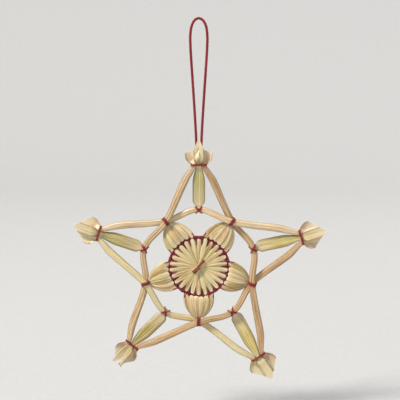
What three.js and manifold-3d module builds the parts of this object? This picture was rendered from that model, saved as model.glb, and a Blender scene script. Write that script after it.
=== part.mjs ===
// A five-pointed straw star on a hanging loop of red thread.
// The star hangs upright in the XZ plane and its front faces -Y.
// The origin is where the loop rests on whatever holds it. Sizes are in millimetres.
import * as THREE from "three";
import Module from "manifold-3d";
import { mergeVertices } from "three/addons/utils/BufferGeometryUtils.js";

// Star layout, as radii from the star's centre
const ARM_COUNT = 5;
const TIE_RADIUS = 23.7;
const MID_RADIUS = 12.9;
const VERTEX_RADIUS = 12.6;
const ROSETTE_RADIUS = 6.3;
// The arms are tied by hand: each outer tie is turned a little, in degrees, and drawn in or out.
const ARM_TURNS = [0, -0.5, -4, -3, -2];
const ARM_REACHES = [0.97, 1, 0.99, 1.04, 1.01];

// Long straws, which run from one arm's crown to the next but one
const STRAW_WIDTH = 1.7;
const RING_WIDTH = 1.45;
const NECK_WIDTH = 1.0;
const STRAW_THICKNESS = 1.0;
const CROSSING_GAP = 0.2;
const ARM_BOW = 0.25;

// Middle straws, one along the middle of each arm
const MIDDLE_WIDTH = 2.8;
const MIDDLE_NECK_WIDTH = 0.85;
const MIDDLE_END_WIDTH = 1.5;
const MIDDLE_THICKNESS = 0.6;

// Crowns, the blades that the straws end in beyond the outer ties
const CROWN_LENGTH = 4.5;
const CROWN_SIDE_LENGTH = 3.6;
const CROWN_SPREAD = 2.0;
const CROWN_BLADE_WIDTH = 2.3;
const CROWN_THICKNESS = 0.3;
// Each arm's crown is cut by hand. Its blades' lengths and spread are shares of the sizes above.
// Its cuts are shares of a blade's width: slant is how much farther in a side blade is cut at its
// outer corner than at its middle, and notch is how far in the middle of the middle blade's end
// is cut, or out in a peak where it is below 0.
const CROWNS = [
  { length: 0.73, sideLength: 0.83, spread: 0.98, slant: 0.15, notch: -1.22 },
  { length: 1, sideLength: 1, spread: 1, slant: 0.5, notch: -0.57 },
  { length: 1.26, sideLength: 1.15, spread: 0.8, slant: 0.61, notch: 0.65 },
  { length: 1, sideLength: 1, spread: 1.1, slant: 0.5, notch: -0.65 },
  { length: 0.98, sideLength: 0.97, spread: 1.025, slant: 0.48, notch: -0.57 },
];

// Rosette and fans
const ROSETTE_BLADES = 26;
const ROSETTE_THICKNESS = 0.9;
const ROSETTE_CENTRE_THICKNESS = 1.4;
const FAN_SPLINTS = 6;
const FAN_WIDTH = 6.4;
const FAN_NECK_WIDTH = 1.8;
const FAN_THICKNESS = 0.6;

// Thread
const TIE_THREAD_RADIUS = 0.18;
const STITCH_LENGTH = 4.0;
const STITCH_TILT = 48;
const RIM_WAVE = 0.1;
const LOOP_THREAD_DIAMETER = 0.65;
const LOOP_HEIGHT = 32;
const LOOP_WIDTH = 3.7;
const KNOT_RADIUS = 0.75;

// Clearances: between thread and straw, between neighbours, and how loosely a tie goes round
const THREAD_CLEARANCE = 0.08;
const PIECE_GAP = 0.12;
const LASHING_SLACK = 1.3;

// The loop's left strand from the knot up to the top, as shares of the loop's half width, of the
// knot's depth and of the strand's height. The right strand mirrors it.
const LOOP_ROUTE = [
  [0.22, 1, 1],
  [0.25, 0.985, 0.955],
  [0.3, 0.92, 0.884],
  [0.39, 0.79, 0.774],
  [0.53, 0.62, 0.632],
  [0.7, 0.43, 0.471],
  [0.87, 0.26, 0.316],
  [0.99, 0.13, 0.193],
  [1, 0.04, 0.103],
  [0.83, 0, 0.042],
  [0.47, 0, 0.0026],
];

// Worked out from the sizes above
const ARM_STEP = 360 / ARM_COUNT;
const WRAP_REACH = TIE_THREAD_RADIUS + THREAD_CLEARANCE;
const NECK_OFFSET = (NECK_WIDTH + MIDDLE_NECK_WIDTH) / 2 + 1.5 * PIECE_GAP;
const CROSSING_DEPTH = (STRAW_THICKNESS + CROSSING_GAP) / 2;
const MIDDLE_BACK_DEPTH = (STRAW_THICKNESS + MIDDLE_THICKNESS) / 2 + PIECE_GAP;
const CROWN_DEPTH = (CROWN_THICKNESS + 5 * PIECE_GAP) / 2;
const RIM_RADIUS = ROSETTE_RADIUS + RIM_WAVE + WRAP_REACH;
const FAN_END_RADIUS = RIM_RADIUS + RIM_WAVE + TIE_THREAD_RADIUS + PIECE_GAP;
const KNOT_DEPTH = STRAW_THICKNESS / 2 + 2 * WRAP_REACH + KNOT_RADIUS + PIECE_GAP;
const STRAND_HEIGHT = LOOP_HEIGHT - KNOT_RADIUS - 2 * PIECE_GAP;

// How finely the surfaces are divided
const STRAW_STEP = 3.6;
const BLADE_COLUMNS = 4;
const TIE_DIVISIONS = { steps: 10, sides: 5 };
const RIM_DIVISIONS = { steps: ROSETTE_BLADES * 3, sides: 5 };
const STITCH_DIVISIONS = { steps: 16, sides: 6 };
const LOOP_DIVISIONS = { steps: 46, sides: 8 };
const KNOT_DIVISIONS = { around: 10, down: 7 };

const FRONT = new THREE.Vector3(0, -1, 0);

const STRAW = new THREE.MeshStandardMaterial({ color: 0xd6bf8d, roughness: 0.45, metalness: 0 });
const MIDDLE_STRAW = new THREE.MeshStandardMaterial({ color: 0xcfbc78, roughness: 0.5, metalness: 0 });
const SPLINT = new THREE.MeshStandardMaterial({ color: 0xdcc795, roughness: 0.5, metalness: 0 });
const THREAD = new THREE.MeshStandardMaterial({ color: 0xa81c26, roughness: 0.85, metalness: 0 });

const radians = THREE.MathUtils.degToRad;
const lerp = THREE.MathUtils.lerp;
const armAngle = (arm) => 90 + ARM_STEP * arm;
const ofArm = (values, arm) => values[arm % ARM_COUNT];
const tieAngle = (arm) => armAngle(arm) + ofArm(ARM_TURNS, arm);
const tieRadius = (arm) => TIE_RADIUS * ofArm(ARM_REACHES, arm);

// A point of the star: out along an angle, aside to the left of it, and back from the front.
function starPoint(angle, out, aside = 0, depth = 0) {
  const a = radians(angle);
  return new THREE.Vector3(
    out * Math.cos(a) - aside * Math.sin(a),
    depth,
    out * Math.sin(a) + aside * Math.cos(a),
  );
}

// Joins rings of points into one closed surface. Each ring runs the same way round.
// A loop of rings closes on itself; other lofts are closed by a strip across each end ring.
function loft(rings, isLoop = false) {
  const count = rings[0].length;
  const positions = rings.flat().flatMap((p) => [p.x, p.y, p.z]);
  const index = [];
  const spans = isLoop ? rings.length : rings.length - 1;
  for (let i = 0; i < spans; i += 1) {
    const here = i * count;
    const next = ((i + 1) % rings.length) * count;
    for (let j = 0; j < count; j += 1) {
      const k = (j + 1) % count;
      index.push(here + j, here + k, next + k, here + j, next + k, next + j);
    }
  }
  if (!isLoop) {
    const last = (rings.length - 1) * count;
    for (let j = 0; j < count / 2 - 1; j += 1) {
      const k = count - 1 - j;
      index.push(j, k, k - 1, j, k - 1, j + 1);
      index.push(last + j, last + k - 1, last + k, last + j, last + j + 1, last + k - 1);
    }
  }
  return closedSurface(positions, index);
}

// A geometry from its corners and faces, with the faces turned to point outwards.
function closedSurface(positions, index) {
  const corner = (i) => new THREE.Vector3().fromArray(positions, index[i] * 3);
  let volume = 0;
  for (let i = 0; i < index.length; i += 3) {
    volume += corner(i).dot(corner(i + 1).cross(corner(i + 2)));
  }
  const geometry = new THREE.BufferGeometry();
  geometry.setAttribute("position", new THREE.Float32BufferAttribute(positions, 3));
  geometry.setIndex(volume < 0 ? index.reverse() : index);
  geometry.computeVertexNormals();
  return geometry;
}

// A flattened straw's section: places across its width, and its height at each of them
const SECTION_ACROSS = [-1, -0.55, 0, 0.55, 1];
const SECTION_HEIGHT = [0.3, 0.85, 1, 0.85, 0.3];
const SQUARE_CUT = { notch: 0, slant: 0 };

// A flattened straw along a smooth line through its stations, which each have a point, a width
// and a thickness. Each end has a cut: notch is how far in its middle is cut, and slant is how
// much farther in the cut is at the right edge, seen along the straw, than at its middle.
function straw(stations, firstCut, lastCut) {
  const line = new THREE.CatmullRomCurve3(stations.map((s) => s.point), false, "centripetal");
  const spans = stations.length - 1;
  const rings = [];
  for (let i = 0; i < spans; i += 1) {
    const here = stations[i];
    const next = stations[i + 1];
    const steps = Math.ceil(here.point.distanceTo(next.point) / STRAW_STEP);
    for (let step = 0; step < steps; step += 1) {
      const share = step / steps;
      const at = (i + share) / spans;
      const width = lerp(here.width, next.width, share);
      const thickness = lerp(here.thickness, next.thickness, share);
      rings.push(strawRing(line, at, width, thickness, at === 0 ? firstCut : SQUARE_CUT, 1));
    }
  }
  const end = stations[spans];
  rings.push(strawRing(line, 1, end.width, end.thickness, lastCut, -1));
  return loft(rings);
}

function strawRing(line, at, width, thickness, cut, inwards) {
  const along = line.getTangent(at);
  const across = along.clone().cross(FRONT).normalize();
  const forward = across.clone().cross(along).normalize();
  const corner = (j, side) => {
    const u = SECTION_ACROSS[j];
    const inset = cut.notch * (1 - Math.abs(u)) + cut.slant * u;
    return line
      .getPoint(at)
      .addScaledVector(across, (u * width) / 2)
      .addScaledVector(forward, (side * SECTION_HEIGHT[j] * thickness) / 2)
      .addScaledVector(along, inwards * inset);
  };
  const order = SECTION_ACROSS.map((_, j) => j);
  return [...order.map((j) => corner(j, 1)), ...order.reverse().map((j) => corner(j, -1))];
}

// Where a blade's stations are, from its tip in, as shares of its length, spread and width
const BLADE_STATIONS = [
  { length: 1, spread: 1, width: 1 },
  { length: 0.55, spread: 0.95, width: 1 },
  { length: 0.28, spread: 0.8, width: 0.78 },
];

// The stations that a straw's end has in a crown, from its tip in to the outer tie. The blades
// spread to the sides at once beyond the tie, with the middle one in front of the others.
function crownStations(arm, side, neck) {
  const angle = tieAngle(arm);
  const radius = tieRadius(arm);
  const crown = ofArm(CROWNS, arm);
  const length = side === 0 ? CROWN_LENGTH * crown.length : CROWN_SIDE_LENGTH * crown.sideLength;
  const spread = side * CROWN_SPREAD * crown.spread;
  const depth = side === 0 ? -CROWN_DEPTH : CROWN_DEPTH;
  const blade = BLADE_STATIONS.map((share) => ({
    point: starPoint(angle, radius + length * share.length, spread * share.spread, depth),
    width: CROWN_BLADE_WIDTH * share.width,
    thickness: CROWN_THICKNESS,
  }));
  return [...blade, { point: starPoint(angle, radius, side * NECK_OFFSET), ...neck }];
}

// How far along each arm, from its vertex tie to its outer tie, the straws are still full
const ARM_FULL_SHARE = 0.72;
const MIDDLE_FULL_SHARE = 0.6;

function longStraw(arm) {
  const neck = { width: NECK_WIDTH, thickness: STRAW_THICKNESS };
  const firstCrown = crownStations(arm, 1, neck);
  const lastCrown = crownStations(arm + 2, -1, neck).reverse();
  const ring = { width: RING_WIDTH, thickness: STRAW_THICKNESS };
  const between = armAngle(arm) + ARM_STEP / 2;
  const front = starPoint(between, VERTEX_RADIUS, 0, -CROSSING_DEPTH);
  const back = starPoint(between + ARM_STEP, VERTEX_RADIUS, 0, CROSSING_DEPTH);
  const onArm = (vertex, crownNeck, bow) => ({
    point: vertex.clone().lerp(crownNeck.point, ARM_FULL_SHARE).add(bow),
    width: STRAW_WIDTH,
    thickness: STRAW_THICKNESS,
  });
  const stations = [
    ...firstCrown,
    onArm(front, firstCrown.at(-1), starPoint(armAngle(arm), 0, ARM_BOW)),
    { point: front, ...ring },
    { point: starPoint(armAngle(arm + 1), MID_RADIUS), ...ring },
    { point: back, ...ring },
    onArm(back, lastCrown[0], starPoint(armAngle(arm + 2), 0, -ARM_BOW)),
    ...lastCrown,
  ];
  const cut = (crown) => ({ notch: 0, slant: CROWN_BLADE_WIDTH * crown.slant });
  return straw(stations, cut(ofArm(CROWNS, arm)), cut(ofArm(CROWNS, arm + 2)));
}

function middleStraw(arm) {
  const angle = armAngle(arm);
  const neck = { width: MIDDLE_NECK_WIDTH, thickness: MIDDLE_THICKNESS };
  const crown = crownStations(arm, 0, neck);
  const full = { width: MIDDLE_WIDTH, thickness: MIDDLE_THICKNESS };
  const tied = { width: MIDDLE_END_WIDTH, thickness: MIDDLE_THICKNESS };
  const ringEdge = MID_RADIUS + RING_WIDTH / 2;
  const shoulder = starPoint(angle, ringEdge + MIDDLE_WIDTH / 3, 0, MIDDLE_BACK_DEPTH);
  const stations = [
    ...crown,
    { point: shoulder.clone().lerp(crown.at(-1).point, MIDDLE_FULL_SHARE), ...full },
    { point: shoulder, ...full },
    { point: starPoint(angle, ringEdge, 0, MIDDLE_BACK_DEPTH), ...tied },
    { point: starPoint(angle, MID_RADIUS - RING_WIDTH / 2, 0, MIDDLE_BACK_DEPTH), ...tied },
  ];
  return straw(stations, { notch: CROWN_BLADE_WIDTH * CROWNS[arm].notch, slant: 0 }, SQUARE_CUT);
}

// Fans and rosette are shells of blades side by side. How far a column is from the middle of its
// blade: 0 on the ridge, 1 in the valley. Each blade is shorter towards its valleys.
const valley = (column) => Math.abs(((column % BLADE_COLUMNS) / BLADE_COLUMNS) * 2 - 1);
const VALLEY_SHORTENING = [0, 0.02, 0.2];
const shortening = (column) => VALLEY_SHORTENING[Math.round(valley(column) * 2)];
// How much thinner a shell is in its valleys, and how thick its outer edge is
const VALLEY_THINNING = 0.5;
const EDGE_SHARE = 0.4;

// A shell's rings of points, one for each column around, with its rows from the middle out along
// the front and then back in along the back. place(row, column, side) gives each point.
function shellRings(columns, rowCount, place) {
  const rings = [];
  for (let j = 0; j < columns; j += 1) {
    const front = [];
    const back = [];
    for (let i = 0; i < rowCount; i += 1) {
      front.push(place(i, j, -1));
      back.push(place(i, j, 1));
    }
    rings.push([...front, ...back.reverse()]);
  }
  return rings;
}

// A fan's rows from its neck out, as shares of its length and of its width
const FAN_ROWS = [
  { length: 0, width: FAN_NECK_WIDTH / FAN_WIDTH },
  { length: 0.3, width: 0.8 },
  { length: 0.7, width: 1.04 },
  { length: 1, width: 1 },
];

// A fan spreads from its neck inside the vertex tie to the rosette's rim, like a shell.
function fan(arm) {
  const angle = armAngle(arm) + ARM_STEP / 2;
  const columns = FAN_SPLINTS * BLADE_COLUMNS + 1;
  const start = VERTEX_RADIUS - LASHING_SLACK * (RING_WIDTH / 2 + WRAP_REACH) - WRAP_REACH - PIECE_GAP;
  const place = (i, j, side) => {
    const row = FAN_ROWS[i];
    const aside = (FAN_WIDTH / 2) * ((2 * j) / (columns - 1) - 1);
    const end = Math.sqrt(FAN_END_RADIUS ** 2 - aside ** 2);
    const out = lerp(start, end, row.length * (1 - shortening(j)));
    const edge = row.length === 1 ? EDGE_SHARE : 1;
    const height = (FAN_THICKNESS / 2) * edge * (1 - VALLEY_THINNING * valley(j) * row.length);
    return starPoint(angle, out, aside * row.width, side * height);
  };
  return loft(shellRings(columns, FAN_ROWS.length, place));
}

// The rosette's rows beyond its middle, as shares of its radius
const ROSETTE_ROWS = [0.35, 1];

function rosette() {
  const columns = ROSETTE_BLADES * BLADE_COLUMNS;
  const place = (i, j, side) => {
    const share = ROSETTE_ROWS[i];
    const atRim = share === 1;
    const out = ROSETTE_RADIUS * share * (atRim ? 1 - shortening(j) : 1);
    const thickness = lerp(ROSETTE_CENTRE_THICKNESS, ROSETTE_THICKNESS, share);
    const edge = atRim ? EDGE_SHARE : 1;
    const height = (thickness / 2) * edge * (1 - VALLEY_THINNING * valley(j) * share);
    return starPoint(90 + (360 * j) / columns, out, 0, side * height);
  };
  const rings = shellRings(columns, ROSETTE_ROWS.length, place);
  const count = rings[0].length;
  const front = columns * count;
  const back = front + 1;
  const middles = [-1, 1].map((side) => starPoint(0, 0, 0, (side * ROSETTE_CENTRE_THICKNESS) / 2));
  const positions = [...rings.flat(), ...middles].flatMap((p) => [p.x, p.y, p.z]);
  const index = [];
  for (let j = 0; j < columns; j += 1) {
    const here = j * count;
    const next = ((j + 1) % columns) * count;
    for (let i = 0; i < count - 1; i += 1) {
      index.push(here + i, here + i + 1, next + i + 1, here + i, next + i + 1, next + i);
    }
    index.push(front, here, next, back, next + count - 1, here + count - 1);
  }
  return closedSurface(positions, index);
}

// A closed ring of thread. point(share) goes once round as share goes from 0 to 1, and the
// thread is flatness times as wide as it is high.
function threadRing(point, divisions, radius, flatness = 1) {
  const { steps, sides } = divisions;
  const middle = point(0).add(point(0.5)).multiplyScalar(0.5);
  const rings = [];
  for (let i = 0; i < steps; i += 1) {
    const centre = point(i / steps);
    const along = point((i + 0.5) / steps).sub(point((i - 0.5) / steps)).normalize();
    const outward = centre.clone().sub(middle).projectOnPlane(along).normalize();
    const aside = along.clone().cross(outward).normalize();
    const ring = [];
    for (let j = 0; j < sides; j += 1) {
      const turn = (2 * Math.PI * j) / sides;
      ring.push(
        centre
          .clone()
          .addScaledVector(outward, radius * Math.cos(turn))
          .addScaledVector(aside, radius * flatness * Math.sin(turn)),
      );
    }
    rings.push(ring);
  }
  return loft(rings, true);
}

// An oval path in the plane of one direction of the star and of its depth. A squareness of 2
// gives an ellipse, and more gives fuller corners.
function ovalPath(centre, direction, halfLength, halfDepth, squareness) {
  const fuller = (value) => Math.sign(value) * Math.abs(value) ** (2 / squareness);
  return (share) => {
    const turn = 2 * Math.PI * share;
    return centre
      .clone()
      .addScaledVector(direction, halfLength * fuller(Math.cos(turn)))
      .addScaledVector(FRONT, halfDepth * fuller(Math.sin(turn)));
  };
}

// How full the corners of the ties are, and how much wider their windings are than the thread
const OUTER_TIE = { squareness: 4, flatness: 1.2 };
const SMALL_TIE = { squareness: 3.2, flatness: 1.3 };
const STITCH = { squareness: 4, flatness: 1.5 };

function tie(centre, direction, halfLength, halfDepth, { squareness, flatness }) {
  const path = ovalPath(centre, direction, halfLength, halfDepth, squareness);
  return threadRing(path, TIE_DIVISIONS, TIE_THREAD_RADIUS, flatness);
}

function outerTie(arm) {
  const angle = tieAngle(arm);
  // The blades flare out from under the tie, so the tie goes round them where its edge is.
  const blade = BLADE_STATIONS.at(-1);
  const crown = CROWNS[arm];
  const neckEdge = NECK_OFFSET + NECK_WIDTH / 2;
  const bladeMiddle = CROWN_SPREAD * crown.spread * blade.spread;
  const bladeEdge = bladeMiddle + (CROWN_BLADE_WIDTH / 2) * blade.width;
  const slope = (bladeEdge - neckEdge) / (CROWN_SIDE_LENGTH * crown.sideLength * blade.length);
  const flare = slope * TIE_THREAD_RADIUS * OUTER_TIE.flatness;
  const halfLength = neckEdge + flare + WRAP_REACH;
  const halfDepth = STRAW_THICKNESS / 2 + WRAP_REACH * LASHING_SLACK;
  return tie(starPoint(angle, tieRadius(arm)), starPoint(angle, 0, 1), halfLength, halfDepth, OUTER_TIE);
}

function midTie(arm) {
  const angle = armAngle(arm);
  const corner = LASHING_SLACK * (Math.max(RING_WIDTH, MIDDLE_END_WIDTH) / 2 + WRAP_REACH);
  const front = -STRAW_THICKNESS / 2;
  const back = MIDDLE_BACK_DEPTH + MIDDLE_THICKNESS / 2;
  const diagonal = starPoint(angle, Math.SQRT1_2, Math.SQRT1_2);
  // The straw bends inwards on both sides of the tie, so the tie sits a little inwards too.
  const bend = (corner / 2) * Math.tan(radians(ARM_STEP / 4));
  const centre = starPoint(angle, MID_RADIUS - bend, 0, (front + back) / 2);
  return tie(centre, diagonal, corner * Math.SQRT2, (back - front) / 2 + WRAP_REACH, SMALL_TIE);
}

function vertexTie(arm) {
  const angle = armAngle(arm) + ARM_STEP / 2;
  const halfLength = LASHING_SLACK * (RING_WIDTH / 2 + WRAP_REACH);
  const halfDepth = CROSSING_DEPTH + STRAW_THICKNESS / 2 + WRAP_REACH;
  return tie(starPoint(angle, VERTEX_RADIUS), starPoint(angle, 1), halfLength, halfDepth, SMALL_TIE);
}

// The thread round the rosette's rim waves in and out past the blades' ends, and over and under.
function rimThread() {
  const point = (share) => {
    const turn = 2 * Math.PI * share * ROSETTE_BLADES;
    const out = RIM_RADIUS + RIM_WAVE * Math.cos(turn);
    const angle = 90 + 360 * (share + 0.5 / ROSETTE_BLADES);
    return starPoint(angle, out, 0, 2 * RIM_WAVE * Math.sin(turn / 2));
  };
  return threadRing(point, RIM_DIVISIONS, TIE_THREAD_RADIUS);
}

// The stitch through the rosette's middle. Its hole is the same shape with a thicker thread.
function centreStitch(clearance = 0) {
  const halfLength = STITCH_LENGTH / 2 - TIE_THREAD_RADIUS;
  const halfDepth = ROSETTE_CENTRE_THICKNESS / 2 + WRAP_REACH;
  const centre = new THREE.Vector3();
  const path = ovalPath(centre, starPoint(STITCH_TILT, 1), halfLength, halfDepth, STITCH.squareness);
  return threadRing(path, STITCH_DIVISIONS, TIE_THREAD_RADIUS + clearance, STITCH.flatness);
}

// The knot that ties the loop behind the upper arm's outer tie
function knot() {
  const geometry = new THREE.SphereGeometry(KNOT_RADIUS, KNOT_DIVISIONS.around, KNOT_DIVISIONS.down);
  geometry.deleteAttribute("normal");
  geometry.deleteAttribute("uv");
  return mergeVertices(geometry);
}

function hangingLoop() {
  const strand = (side) =>
    LOOP_ROUTE.map(
      ([aside, back, down]) =>
        new THREE.Vector3((side * aside * LOOP_WIDTH) / 2, back * KNOT_DEPTH, -down * STRAND_HEIGHT),
    );
  const top = new THREE.Vector3(0, 0, LOOP_THREAD_DIAMETER / 2);
  const route = new THREE.CatmullRomCurve3([...strand(-1), top, ...strand(1).reverse()]);
  const { steps, sides } = LOOP_DIVISIONS;
  const corners = Array.from({ length: sides }, (_, j) => {
    const turn = (2 * Math.PI * j) / sides;
    return new THREE.Vector2(Math.cos(turn), Math.sin(turn)).multiplyScalar(LOOP_THREAD_DIAMETER / 2);
  });
  const options = { steps, extrudePath: route, bevelEnabled: false };
  return new THREE.ExtrudeGeometry(new THREE.Shape(corners), options);
}

// Cuts one closed surface out of another.
const wasm = await Module();
wasm.setup();

function solidOf(geometry) {
  const plain = new THREE.BufferGeometry();
  plain.setAttribute("position", geometry.getAttribute("position").clone());
  plain.setIndex(geometry.getIndex().clone());
  const merged = mergeVertices(plain);
  const vertProperties = new Float32Array(merged.getAttribute("position").array);
  const triVerts = new Uint32Array(merged.getIndex().array);
  return new wasm.Manifold(new wasm.Mesh({ numProp: 3, vertProperties, triVerts }));
}

function cut(geometry, tool) {
  const result = solidOf(geometry).subtract(solidOf(tool)).getMesh();
  const cutGeometry = new THREE.BufferGeometry();
  cutGeometry.setAttribute("position", new THREE.BufferAttribute(result.vertProperties, 3));
  cutGeometry.setIndex(new THREE.BufferAttribute(result.triVerts, 1));
  cutGeometry.computeVertexNormals();
  return cutGeometry;
}

function named(name, geometry, material) {
  const mesh = new THREE.Mesh(geometry, material);
  mesh.name = name;
  return mesh;
}

const star = new THREE.Group();
star.position.z = -(LOOP_HEIGHT + tieRadius(0));
for (let arm = 0; arm < ARM_COUNT; arm += 1) {
  const number = arm + 1;
  star.add(named(`long_straw_${number}`, longStraw(arm), STRAW));
  star.add(named(`middle_straw_${number}`, middleStraw(arm), MIDDLE_STRAW));
  star.add(named(`fan_${number}`, fan(arm), SPLINT));
  star.add(named(`outer_tie_${number}`, outerTie(arm), THREAD));
  star.add(named(`mid_tie_${number}`, midTie(arm), THREAD));
  star.add(named(`vertex_tie_${number}`, vertexTie(arm), THREAD));
}
star.add(named("rosette", cut(rosette(), centreStitch(THREAD_CLEARANCE)), SPLINT));
star.add(named("rim_thread", rimThread(), THREAD));
star.add(named("centre_stitch", centreStitch(), THREAD));

const loopKnot = named("loop_knot", knot(), THREAD);
loopKnot.position.set(0, KNOT_DEPTH, -LOOP_HEIGHT);

const ornament = new THREE.Group();
ornament.add(star, loopKnot, named("hanging_loop", hangingLoop(), THREAD));

export default ornament;
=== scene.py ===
"""A five-pointed straw star hung by a loop of red thread over a pale floor.

The star hangs in the XZ plane with its front towards -Y. Lengths are in metres, and a size in
millimetres is written as a number times MM.
"""

import math

import bpy
import numpy as np
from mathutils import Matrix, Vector


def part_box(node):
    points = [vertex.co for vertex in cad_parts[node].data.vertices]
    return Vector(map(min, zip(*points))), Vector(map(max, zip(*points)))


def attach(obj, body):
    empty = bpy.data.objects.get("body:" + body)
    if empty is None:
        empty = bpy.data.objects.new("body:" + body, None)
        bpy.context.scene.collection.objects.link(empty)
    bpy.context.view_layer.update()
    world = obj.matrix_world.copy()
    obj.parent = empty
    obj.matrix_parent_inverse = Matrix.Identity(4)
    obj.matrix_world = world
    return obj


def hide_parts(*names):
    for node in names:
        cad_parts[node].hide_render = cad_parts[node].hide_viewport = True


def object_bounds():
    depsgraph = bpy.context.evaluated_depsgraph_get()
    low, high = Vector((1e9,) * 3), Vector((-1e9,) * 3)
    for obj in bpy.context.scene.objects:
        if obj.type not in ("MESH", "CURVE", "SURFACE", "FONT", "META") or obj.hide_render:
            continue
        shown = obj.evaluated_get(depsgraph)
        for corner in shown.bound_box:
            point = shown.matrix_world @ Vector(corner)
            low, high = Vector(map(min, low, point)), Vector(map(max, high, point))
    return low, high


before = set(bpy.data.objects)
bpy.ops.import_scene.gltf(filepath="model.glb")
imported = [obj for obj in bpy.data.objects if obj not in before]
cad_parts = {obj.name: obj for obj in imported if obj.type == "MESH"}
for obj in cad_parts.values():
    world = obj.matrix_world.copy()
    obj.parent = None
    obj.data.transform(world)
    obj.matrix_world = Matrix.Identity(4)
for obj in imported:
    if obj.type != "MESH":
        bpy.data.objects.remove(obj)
CAD_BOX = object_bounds()

MM = 0.001
ARMS = 5
ARM_STEP = 360 / ARMS
FRONT = np.array([0.0, -1.0, 0.0])
RIGHT = np.array([1.0, 0.0, 0.0])
UP = np.array([0.0, 0.0, 1.0])
rng = np.random.default_rng(11)


def middle_of(node):
    low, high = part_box(node)
    return (np.array(low) + np.array(high)) / 2


def half_size_of(node):
    low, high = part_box(node)
    return (np.array(high) - np.array(low)) / 2


# Camera
CAMERA_ELEVATION = 7
CAMERA_DISTANCE = 0.32
CAMERA_MARGIN = 1.1  # the height in view, as a share of the ornament's

# The arms are tied by hand: each outer tie is turned a little, in degrees, and drawn in or out.
ARM_TURNS = [0, -0.5, -4, -3, -2]
ARM_REACHES = [0.97, 1, 0.99, 1.04, 1.01]

# The star's centre, its outer and vertex ties and its rosette are where the frame has them.
CENTRE = middle_of("rosette")
TIE_RADIUS = (middle_of("outer_tie_1")[2] - CENTRE[2]) / ARM_REACHES[0]
VERTEX_RADIUS = CENTRE[2] - middle_of("vertex_tie_3")[2]
MID_RADIUS = 12.9 * MM
ROSETTE_RADIUS = half_size_of("rosette")[2]

# Straws
STRAW_WIDTH = 1.7 * MM
RING_WIDTH = 1.45 * MM
NECK_WIDTH = 1.0 * MM
STRAW_THICKNESS = 1.0 * MM
ARM_BOW = 0.25 * MM
ARM_FULL_SHARE = 0.72
MIDDLE_WIDTH = 2.8 * MM
MIDDLE_NECK_WIDTH = 0.85 * MM
MIDDLE_END_WIDTH = 1.5 * MM
MIDDLE_THICKNESS = 0.6 * MM
MIDDLE_FULL_SHARE = 0.6
PIECE_GAP = 0.12 * MM
NECK_OFFSET = (NECK_WIDTH + MIDDLE_NECK_WIDTH) / 2 + 1.5 * PIECE_GAP
CROSSING_DEPTH = STRAW_THICKNESS / 2 + 0.1 * MM
MIDDLE_BACK_DEPTH = (STRAW_THICKNESS + MIDDLE_THICKNESS) / 2 + PIECE_GAP
SPAN_SAMPLES = 12  # samples of a straw's line between two of its points
SHARP_ANGLE = 62  # edges that turn by more degrees than this are sharp

# A straw's section. Thicknesses and ribs are shares of the straw's thickness.
ACROSS = 15  # points across each of its two faces
FOLD_THICKNESS = 0.16
RIB_HEIGHT = 0.05
RIB_PHASES = 6.28  # a straw's ribs start anywhere in one wave
BACK_RIBS = 0.6  # the back's ribs, as a share of the front's
GROOVE_WIDTH = 0.22  # as a share of half the straw's width

# A straw's ends
SQUARE_CUT = (0.0, 0.0)
LEAST_CUT = 0.25 * MM
CUT_FADE = 2.2  # how far in a cut is felt, in its own depths
END_PITH = 0.85
BACK_PITH = 0.35

# Crowns. Each arm's is cut by hand, and its blades' lengths, spread and cuts are shares of the
# sizes above them.
CROWN_THICKNESS = 0.26 * MM
CROWN_DEPTH = 0.45 * MM
CROWN_LENGTH = 4.5 * MM
CROWN_LENGTHS = [0.73, 1, 1.26, 1, 0.98]
CROWN_SIDE_LENGTH = 3.6 * MM
CROWN_SIDE_LENGTHS = [0.83, 1, 1.15, 1, 0.97]
CROWN_SPREAD = 2.0 * MM
CROWN_SPREADS = [0.98, 1, 0.8, 1.1, 1.025]
CROWN_BLADE_WIDTH = 2.3 * MM
CROWN_SLANTS = [0.15, 0.5, 0.61, 0.5, 0.48]
CROWN_NOTCHES = [-1.22, -0.57, 0.65, -0.65, -0.57]

# Rosette and fans
SPLINT_THICKNESS = 0.5 * MM
ROSETTE_SPLINTS = 13
ROSETTE_BLADES = 2 * ROSETTE_SPLINTS
ROSETTE_STACK = 0.75 * MM  # how far the splints are stacked at its middle
ROSETTE_BULGE = 0.2 * MM  # how far its blades arch forward
ROSETTE_LEAST_WIDTH = 0.6 * MM
ROSETTE_END_WIDTH = 1.1 * MM
FAN_SPLINTS = 6
FAN_WIDTH = 6.4 * MM
FAN_PITCH = FAN_WIDTH / FAN_SPLINTS
FAN_NECK = 1.0 * MM
FAN_END_RADIUS = half_size_of("rim_thread")[0] + PIECE_GAP
FAN_TUCK = 0.3 * MM  # how far a fan's splints reach in under the rim thread
FAN_BACKSET = 0.25 * MM
FAN_CUP = 0.75 * MM
FAN_OVERLAP = 1.18  # how wide a splint is, as a share of its place in the fan
END_ROUNDNESS = 2.4
END_LEAST = 0.02  # how wide a splint's round end is left, as a share

# Thread, which is wound from plies
THREAD = 0.27 * MM
LOOP_THREAD = 0.65 * MM
TWIST_PITCH = 3.2  # as a share of the thread's thickness
TWIST_STEPS = 9  # samples in one twist
PLY_RADIUS = 0.29  # as a share of the thread's thickness
PLY_END = 0.35  # how thick a ply's cut end is, as a share of the ply

# Ties and stitches
TIE_PITCH = 0.95 * THREAD
TIE_SAMPLES = 40  # samples in one turn
STITCH_LENGTH = 4.0 * MM
STITCH_TILT = 48
STITCH_DEPTH = 0.32 * MM
STITCH_THREAD = THREAD * 1.1

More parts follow.
